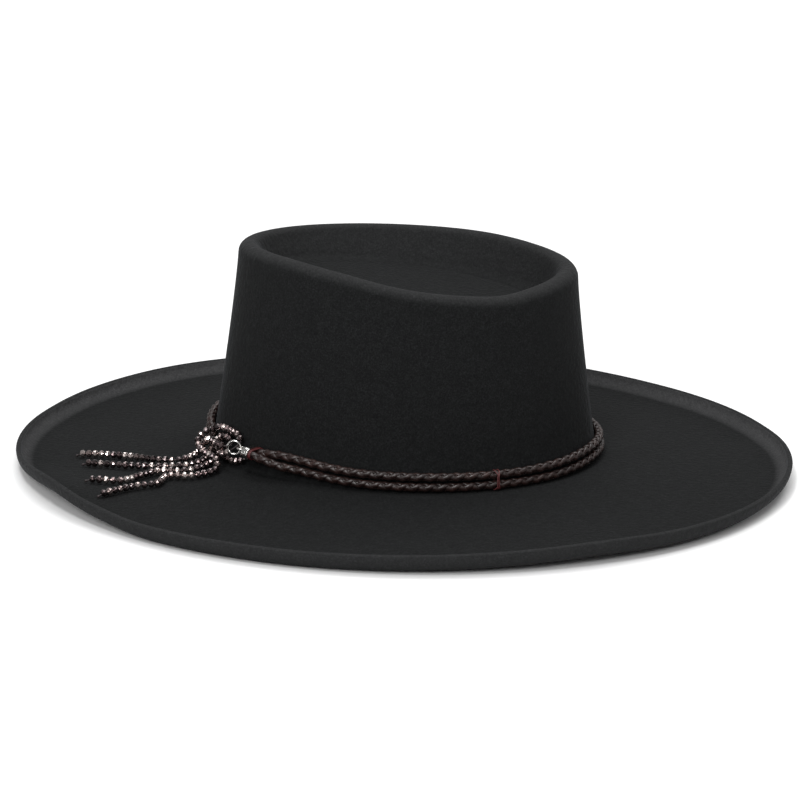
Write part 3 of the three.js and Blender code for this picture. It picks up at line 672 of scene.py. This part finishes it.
def wire_ring(centre, first, second, radius, wire):
    """Points and faces of a ring of round wire in the plane of two directions."""
    a, b = np.meshgrid(2 * np.pi * np.arange(WIRE_STEPS) / WIRE_STEPS,
                       2 * np.pi * np.arange(WIRE_SIDES) / WIRE_SIDES, indexing="ij")
    axis = np.cross(first, second)
    spoke = np.cos(a)[..., None] * first + np.sin(a)[..., None] * second
    points = (centre + spoke * (radius + wire / 2 * np.cos(b))[..., None]
              + axis * (wire / 2 * np.sin(b))[..., None])
    return points.reshape(-1, 3), ring_faces(WIRE_STEPS, WIRE_SIDES, closed=True)


def joined_parts(parts):
    """One list of points and faces from several closed parts."""
    points, faces = [], []
    for part_points, part_faces in parts:
        start = sum(len(p) for p in points)
        faces += [[i + start for i in face] for face in part_faces]
        points.append(part_points)
    return np.concatenate(points), faces


inside = CORD / 2 + CAP_ROOM
outside = inside + CAP_WALL
shoulder = CAP_DEPTH + CAP_WALL
neck = CAP_NECK / 2
cup = closed_skin([
    cap_ring(CAP_LENGTH, neck * 0.7, 0), cap_ring(CAP_LENGTH - 0.2, neck * 0.95, 0),
    cap_ring(CAP_LENGTH - CAP_WALL, neck, 0.2), cap_ring(shoulder + 1.8, neck * 1.25, 1.6),
    cap_ring(shoulder + 0.9, outside * 0.72, CORD_SPLIT * 0.8),
    cap_ring(shoulder + 0.35, outside * 0.9, CORD_SPLIT), cap_ring(shoulder, outside, CORD_SPLIT),
    cap_ring(1.3, outside, CORD_SPLIT), cap_ring(1.1, outside - WORN, CORD_SPLIT),
    cap_ring(0.9, outside, CORD_SPLIT), cap_ring(WORN, outside, CORD_SPLIT),
    cap_ring(0, outside - WORN, CORD_SPLIT),
    cap_ring(0, inside + 0.1, CORD_SPLIT), cap_ring(0.1, inside, CORD_SPLIT),
    cap_ring(CAP_DEPTH, inside, CORD_SPLIT),
])
eye_centre = in_cap(CAP_LENGTH + EYE_RADIUS, 0)
eye = wire_ring(eye_centre, cap_line, cap_across, EYE_RADIUS, EYE_WIRE)
end_cap = new_piece("silver_cap", *joined_parts([cup, eye]), silver_plate)
dress(end_cap, "silver", "end_cap")

upright = np.array([0.0, 0.0, 1.0])
ring_face = np.array([math.cos(RING_FACE), math.sin(RING_FACE), 0.0])
ring_side = np.cross(upright, ring_face)
ring_centre = eye_centre - ring_side * RING_RADIUS
ring_parts = wire_ring(ring_centre, ring_side, upright, RING_RADIUS, RING_WIRE)
ring = new_piece("silver_ring", *ring_parts, silver_plate)
dress(ring, "silver", "ring")

# %% [markdown]
# ## Whipping and tack
# Where the cords leave the cap they are bound with three turns of dark red linen thread, which hide the
# glue. At the wearer's left the same thread goes three times round both cords, each turn at its own
# slant, and holds them together. All are closed loops of thread: the first round two cords side by side,
# the others round one cord above the other. Wax keeps the thread's twist tight and gives it a dull shine.

# %% Wind the thread
red_thread, tree = new_material("waxed red linen thread")
where = add(tree, "ShaderNodeTexCoord").outputs["Object"]
TWIST_SIZE = 0.6 * MM
twist = add(tree, "ShaderNodeTexWave", {"Vector": where, "Scale": 1 / TWIST_SIZE, "Distortion": 3.0})
surface = add(tree, "ShaderNodeBsdfPrincipled", {
    "Base Color": ramp(tree, twist, [(0.0, "3a1516"), (1.0, "622c2c")]), "Roughness": 0.5,
})
add(tree, "ShaderNodeOutputMaterial", {"Surface": surface})
THREAD_THICK, THREAD_PITCH, THREAD_SIDES = 0.55, 0.56, 8
THREAD_AT = CORD / 2 + THREAD_THICK / 4  # the thread bites into the leather by half its radius
WHIPPING_TURNS, WHIPPING_START = 3, 0.6


def thread_loop(path):
    """A closed loop of thread along a closed path of points."""
    path = np.asarray(path)
    tangent = np.roll(path, -1, 0) - np.roll(path, 1, 0)
    tangent /= np.linalg.norm(tangent, axis=1)[:, None]
    outward = path - path.mean(0)
    outward -= tangent * (outward * tangent).sum(1)[:, None]
    outward /= np.linalg.norm(outward, axis=1)[:, None]
    side = np.cross(outward, tangent)
    a = 2 * math.pi * np.arange(THREAD_SIDES)[:, None] / THREAD_SIDES
    rings = path[:, None] + THREAD_THICK / 2 * (np.cos(a) * outward[:, None] + np.sin(a) * side[:, None])
    return rings.reshape(-1, 3), ring_faces(len(path), THREAD_SIDES, closed=True)


whipping = [thread_loop(cap_ring(-(turn + WHIPPING_START) * THREAD_PITCH, THREAD_AT, CORD_SPLIT))
            for turn in range(WHIPPING_TURNS)]
dress(new_piece("thread_whipping", *joined_parts(whipping), red_thread), "leather")

TACK_TURN, TACK_STEPS = 27, 32
CORD_GAP, CORD_LIFT = 0.5, 0.75  # where the two cords lie at that turn: off the wall and off the brim
TACK_LOOPS = [(0.9, -0.3), (0.5, 0.1), (-0.7, 0)]  # slant and shift in degrees of turn


def tack_loop(slant, shift):
    """One turn of the stitch round both cords, slanted by a few degrees of turn."""
    path = []
    for a in np.linspace(0, 2 * math.pi, TACK_STEPS, endpoint=False):
        stack = CORD / 2 * math.copysign(1, math.sin(a) + 1e-9)
        path.append(place(TACK_TURN + shift + slant * math.sin(a),
                          CORD_GAP + CORD / 2 + THREAD_AT * math.cos(a),
                          CORD_LIFT + CORD + stack + THREAD_AT * math.sin(a)))
    return thread_loop(path)


tack = [tack_loop(slant, shift) for slant, shift in TACK_LOOPS]
dress(new_piece("thread_tack", *joined_parts(tack), red_thread), "leather")

# %% [markdown]
# ## Strings of beads
# The tassel is three strings of small faceted glass beads on waxed thread. Rows are turn, distance from
# the wall and height over the brim. The beads are all alike but for their size and turn, so Geometry
# Nodes set one bead along each route, spin every copy by a random angle, and give it a number that its
# colour is picked from. Where a string is squeezed, as in the ring, it is bare, and past the last bead
# of a tail the thread runs on for one bead's length and ends in a small knot.

# %% Routes of the strings
UPPER_STRING = [
    (-83, 68, 2.5), (-80.5, 55, 2.5), (-76.5, 43, 2.5), (-71, 32, 2.5), (-68.6, 24, 2.5), (-69.6, 17, 2.5),
    (-71.4, 12.8, 2.8), (-73.2, 9.4, 4.6), (-72.6, 7.9, 7.8), (-69.4, 8.4, 10.5), (-65.5, 7.8, 10.6),
    (-61.8, 8.9, 11.6), (-58.6, 10.0, 12.0), (-56.7, 7.4, 12.4), (-58.4, 4.4, 12.8), (-62.2, 2.7, 12.9),
    (-67, 2.7, 12.2), (-70.2, 3.0, 9.0), (-69.6, 5.4, 6.2), (-66.8, 9.6, 3.2), (-64.6, 14, 2.5),
    (-63.4, 24, 2.5), (-66, 36, 2.5), (-70, 50, 2.5), (-75.5, 67, 2.5),
]
LOWER_STRING = [
    (-62.4, 76, 2.5), (-59.8, 63, 2.5), (-61.5, 51, 2.5), (-62.6, 40, 2.5), (-59.4, 28, 2.5), (-60, 18, 2.5),
    (-61.6, 11.4, 2.7), (-61.6, 7.0, 5.4), (-60.0, 8.0, 7.4), (-57.2, 9.8, 8.4), (-55.4, 7.4, 10.8),
    (-54.9, 3.6, 13.6), (-56.4, 2.7, 16.2), (-59.2, 2.6, 17.1), (-66, 2.6, 17.0), (-71, 3.0, 15.4),
    (-72.2, 5.2, 14.2), (-72.5, 9.1, 13.6), (-71.6, 12.6, 10.6), (-68.6, 13.7, 8.1), (-65.2, 13.6, 7.1),
    (-61, 13.4, 7.0), (-57.4, 13.6, 6.2), (-55.2, 15.4, 3.2), (-54.6, 20, 2.5), (-55.2, 30, 2.5),
    (-58.4, 40, 2.5), (-55.4, 50, 2.5), (-56, 62, 2.5), (-55, 81, 2.5),
]
TIE_STRING = [
    (-75.2, 2.7, 10.6), (-74.4, 2.7, 7.2), (-72.2, 2.7, 3.8), (-67, 2.7, 2.5), (-60, 2.7, 2.5),
    (-55.4, 2.7, 3.6), (-52.2, 2.7, 6.4), (-51, 2.7, 9.4),
]

# %% One faceted bead
BEAD, BEAD_LONG = 4.0, 3.1
BEAD_SIDES = 8
END_SHARE, BELT_SHARE = 0.5, 0.42  # radius of its flat ends, and height of its widest belts


def bead_mesh(material):
    """A bead along Z, cut with three belts of triangular facets."""
    half = BEAD_LONG / 2
    belts = [(-half, END_SHARE, 0), (-half * BELT_SHARE, 1, 0.5), (half * BELT_SHARE, 1, 0),
             (half, END_SHARE, 0.5)]
    points, faces = [], []
    for z, share, shift in belts:
        for j in range(BEAD_SIDES):
            a = 2 * math.pi * (j + shift) / BEAD_SIDES
            points.append((BEAD / 2 * share * math.cos(a), BEAD / 2 * share * math.sin(a), z))
    for k in range(3):
        lower_leads = belts[k][2] < belts[k + 1][2]
        for j in range(BEAD_SIDES):
            after = (j + 1) % BEAD_SIDES
            a, b = k * BEAD_SIDES + j, k * BEAD_SIDES + after
            c, d = (k + 1) * BEAD_SIDES + j, (k + 1) * BEAD_SIDES + after
            if lower_leads:
                faces += [[a, b, c], [b, d, c]]
            else:
                faces += [[a, d, c], [a, b, d]]
    faces.append(list(range(BEAD_SIDES - 1, -1, -1)))
    faces.append([3 * BEAD_SIDES + j for j in range(BEAD_SIDES)])
    return new_piece("bead", points, faces, material, smooth=False)


# %% [markdown]
# ## Metal-coated glass
# The beads are glass fired with a thin lustre of copper and silver, some rosier and darker and some
# paler. It mirrors like metal, so a facet is bright or nearly black by what it faces, and a coat gives
# the hard gloss of glass over it. The thread is waxed polyester: dark, dull and twisted from plies.

# %% Materials for beads and thread
lustre_glass, tree = new_material("lustred glass bead")
tone = add(tree, "ShaderNodeAttribute", attribute_name="tone")
lustre = ramp(tree, tone.outputs["Fac"], [(0.0, "3a2f30"), (0.4, "625252"), (0.7, "948481"),
                                          (1.0, "dccfca")])
surface = add(tree, "ShaderNodeBsdfPrincipled", {
    "Base Color": lustre, "Metallic": 0.95, "Roughness": 0.18, "Coat Weight": 1.0,
    "Coat Roughness": 0.04,
})
add(tree, "ShaderNodeOutputMaterial", {"Surface": surface})

waxed_thread, tree = new_material("waxed polyester thread")
where = add(tree, "ShaderNodeTexCoord").outputs["Object"]
PLY_SIZE = 2 * MM
plies = add(tree, "ShaderNodeTexWave", {"Vector": where, "Scale": 1 / PLY_SIZE, "Distortion": 2.0})
surface = add(tree, "ShaderNodeBsdfPrincipled", {
    "Base Color": ramp(tree, plies, [(0.0, "1c1514"), (1.0, "33272a")]), "Roughness": 0.6,
})
add(tree, "ShaderNodeOutputMaterial", {"Surface": surface})

# %% Geometry nodes for a string of beads
THREAD_SECTION = 8
THREAD_STEP = 1.2 * MM
stringing, given = new_tree("beads on a thread", [
    ("Bead", "Object"), ("Pitch", "Float"), ("Thread", "Float"), ("Bare from", "Float"),
    ("Bare to", "Float"), ("Loose", "Float"), ("Knot", "Float"), ("Size spread", "Float"),
    ("Seed", "Int"), ("Bead material", "Material"), ("Thread material", "Material"),
])
even = add(stringing, "GeometryNodeResampleCurve", {"Curve": given["Geometry"], "Length": given["Pitch"]},
           mode="LENGTH")
spline = add(stringing, "GeometryNodeSplineParameter")
share = add(stringing, "GeometryNodeCaptureAttribute", {"Geometry": even}, domain="POINT")
share.capture_items.new("FLOAT", "Share")
stringing.links.new(spline.outputs["Factor"], share.inputs["Share"])
sites = add(stringing, "GeometryNodeCurveToPoints", {"Curve": share}, mode="EVALUATED")
after = add(stringing, "FunctionNodeCompare", {0: share.outputs["Share"], 1: given["Bare from"]},
            data_type="FLOAT", operation="GREATER_THAN")
before = add(stringing, "FunctionNodeCompare", {0: share.outputs["Share"], 1: given["Bare to"]},
             data_type="FLOAT", operation="LESS_THAN")
bare = add(stringing, "FunctionNodeBooleanMath", {0: after, 1: before}, operation="AND")
past_start = add(stringing, "FunctionNodeCompare", {0: share.outputs["Share"], 1: given["Loose"]},
                 data_type="FLOAT", operation="GREATER_THAN")
last_share = add(stringing, "ShaderNodeMath", {0: 1.0, 1: given["Loose"]}, operation="SUBTRACT")
before_end = add(stringing, "FunctionNodeCompare", {0: share.outputs["Share"], 1: last_share},
                 data_type="FLOAT", operation="LESS_THAN")
inner = add(stringing, "FunctionNodeBooleanMath", {0: past_start, 1: before_end}, operation="AND")
beaded = add(stringing, "FunctionNodeBooleanMath", {0: inner, 1: bare}, operation="NIMPLY")
tip = add(stringing, "FunctionNodeBooleanMath", {0: inner}, operation="NOT")
LEAST, MOST, DRAWN = 2, 3, 1  # sockets of the Random Value node that carry plain numbers
spin = add(stringing, "FunctionNodeRandomValue", {LEAST: 0.0, MOST: math.tau, "Seed": given["Seed"]},
           data_type="FLOAT")
spun = add(stringing, "FunctionNodeAxisAngleToRotation", {"Axis": (0, 0, 1), "Angle": spin.outputs[DRAWN]})
turned = add(stringing, "FunctionNodeRotateRotation", {
    "Rotation": sites.outputs["Rotation"], "Rotate By": spun}, rotation_space="LOCAL")
least = add(stringing, "ShaderNodeMath", {0: 1.0, 1: given["Size spread"]}, operation="SUBTRACT")
size = add(stringing, "FunctionNodeRandomValue", {LEAST: least, MOST: 1.0, "Seed": given["Seed"]},
           data_type="FLOAT")
bead_shape = add(stringing, "GeometryNodeObjectInfo", {"Object": given["Bead"]})
beads = add(stringing, "GeometryNodeInstanceOnPoints", {
    "Points": sites, "Selection": beaded, "Instance": bead_shape.outputs["Geometry"], "Rotation": turned,
    "Scale": size.outputs[DRAWN]})
tone = add(stringing, "FunctionNodeRandomValue", {LEAST: 0.0, MOST: 1.0, "Seed": given["Seed"]},
           data_type="FLOAT")
toned = add(stringing, "GeometryNodeStoreNamedAttribute", {
    "Geometry": beads, "Name": "tone", "Value": tone.outputs[DRAWN]}, data_type="FLOAT", domain="INSTANCE")
beads_dressed = add(stringing, "GeometryNodeSetMaterial", {
    "Geometry": toned, "Material": given["Bead material"]})
knot_shape = add(stringing, "GeometryNodeMeshIcoSphere", {"Radius": given["Knot"], "Subdivisions": 2})
knots = add(stringing, "GeometryNodeInstanceOnPoints", {
    "Points": sites, "Selection": tip, "Instance": knot_shape})
round_thread = add(stringing, "GeometryNodeCurvePrimitiveCircle", {
    "Resolution": THREAD_SECTION, "Radius": given["Thread"]}, mode="RADIUS")
fine = add(stringing, "GeometryNodeResampleCurve", {"Curve": given["Geometry"], "Length": THREAD_STEP},
           mode="LENGTH")
thread = add(stringing, "GeometryNodeCurveToMesh", {
    "Curve": fine, "Profile Curve": round_thread, "Fill Caps": True})
knotted = add(stringing, "GeometryNodeJoinGeometry", {"Geometry": thread})
stringing.links.new(knots.outputs[0], knotted.inputs["Geometry"])
smooth_thread = add(stringing, "GeometryNodeSetShadeSmooth", {"Geometry": knotted})
thread_dressed = add(stringing, "GeometryNodeSetMaterial", {
    "Geometry": smooth_thread, "Material": given["Thread material"]})
both = add(stringing, "GeometryNodeJoinGeometry", {"Geometry": beads_dressed})
stringing.links.new(thread_dressed.outputs[0], both.inputs["Geometry"])
real = add(stringing, "GeometryNodeRealizeInstances", {"Geometry": both})
add(stringing, "NodeGroupOutput", {"Geometry": real})

# %% String the beads
PITCH, SIZE_SPREAD = 3.5, 0.12
THREAD_RADIUS, KNOT_RADIUS, KNOT_DROP = 0.45, 0.75, 1.2
STRING_STEPS = 16
ENDS_LOOSE, ENDS_BEADED = 0.001, -1.0  # the share at each end that takes a knot instead of a bead


def loose_ends(path):
    """The path with one more pitch at each end, which sinks towards the felt."""
    drop = np.array([0, 0, KNOT_DROP])
    start = path[0] + unit(path[0] - path[1]) * PITCH - drop
    end = path[-1] + unit(path[-1] - path[-2]) * PITCH - drop
    return np.concatenate([[start], path, [end]])


bead = bead_mesh(lustre_glass)
STRINGS = [  # name, route, the share of it that is bare, seed
    ("upper", UPPER_STRING, 0.493, 0.535, 3),
    ("lower", LOWER_STRING, 0.375, 0.412, 8),
    ("tie", TIE_STRING, 1, 1, 5),
]
for name, rows, bare_from, bare_to, seed in STRINGS:
    path = smooth_path([place(*row) for row in rows], STRING_STEPS)
    has_tails = name != "tie"
    route = route_object("route", loose_ends(path) if has_tails else path)
    beaded_string = grow(f"beads_{name}", route, stringing, {
        "Bead": bead, "Pitch": PITCH * MM, "Thread": THREAD_RADIUS * MM,
        "Bare from": bare_from, "Bare to": bare_to, "Loose": ENDS_LOOSE if has_tails else ENDS_BEADED,
        "Knot": KNOT_RADIUS * MM, "Size spread": SIZE_SPREAD, "Seed": seed,
        "Bead material": lustre_glass, "Thread material": waxed_thread,
    })
    dress(beaded_string, "beads", f"bead_string_{name}")
bpy.data.objects.remove(bead)

# %% [markdown]
# ## Studio
# The floor is matt white paper that sweeps away without an edge. Light from a whole white ceiling, a
# little behind the hat, draws the pale line along the rim, together with the highlight painted on the
# felt's crest, and a narrower window in front lightens the crown's side. Small lamps in front and at both
# sides give the glints on leather, glass and silver.
# White walls all round fill the shadows.

# %% Floor and lights
studio_white, tree = new_material("matt white paper")
where = add(tree, "ShaderNodeTexCoord").outputs["Object"]
TOOTH_SIZE = 25 * MM
tooth = add(tree, "ShaderNodeTexNoise", {"Vector": where, "Scale": 1 / TOOTH_SIZE})
surface = add(tree, "ShaderNodeBsdfPrincipled", {
    "Base Color": ramp(tree, tooth, [(0.0, "f4f4f4"), (1.0, "f7f7f7")]), "Roughness": 0.9,
})
add(tree, "ShaderNodeOutputMaterial", {"Surface": surface})
FLOOR = 12000
corners = [(-FLOOR, -FLOOR, 0), (FLOOR, -FLOOR, 0), (FLOOR, FLOOR, 0), (-FLOOR, FLOOR, 0)]
floor = new_piece("floor", corners, [[0, 1, 2, 3]], studio_white)
LIT_POINT = Vector((0, 0, 0.05))
WALLS = 0.3


def aim(light, source):
    """Puts a light at a place in metres and points it at the hat."""
    light.location = source
    light.rotation_euler = (Vector(source) - LIT_POINT).to_track_quat("Z", "Y").to_euler()
    bpy.context.scene.collection.objects.link(light)


def soft_light(name, source, size, watts):
    """A square light of a size in metres."""
    data = bpy.data.lights.new(name, "AREA")
    data.size = size
    data.energy = watts
    aim(bpy.data.objects.new(name, data), source)


def broad_light(name, source, spread, strength):
    """Even light from a patch of ceiling or wall that spreads over so many degrees of the sky."""
    data = bpy.data.lights.new(name, "SUN")
    data.energy = strength
    data.angle = math.radians(spread)
    aim(bpy.data.objects.new(name, data), source)


# place in metres, then degrees of sky and strength, or side in metres and watts
broad_light("ceiling", (-0.3, 0.1, 1.0), 55, 2.1)
broad_light("front window", (1.0, -0.35, 0.75), 24, 1.0)
soft_light("front lamp", (0.85, -0.3, 1.4), 0.3, 9)
soft_light("side lamp left", (1.3, -1.3, 0.9), 0.2, 4)
soft_light("side lamp right", (1.2, 1.2, 1.2), 0.2, 3)
world = bpy.data.worlds.new("studio")
world.use_nodes = True
walls = world.node_tree.nodes["Background"]
walls.inputs["Color"].default_value = linear("ffffff")
walls.inputs["Strength"].default_value = WALLS
bpy.context.scene.world = world
bpy.context.scene.view_settings.view_transform = "Standard"
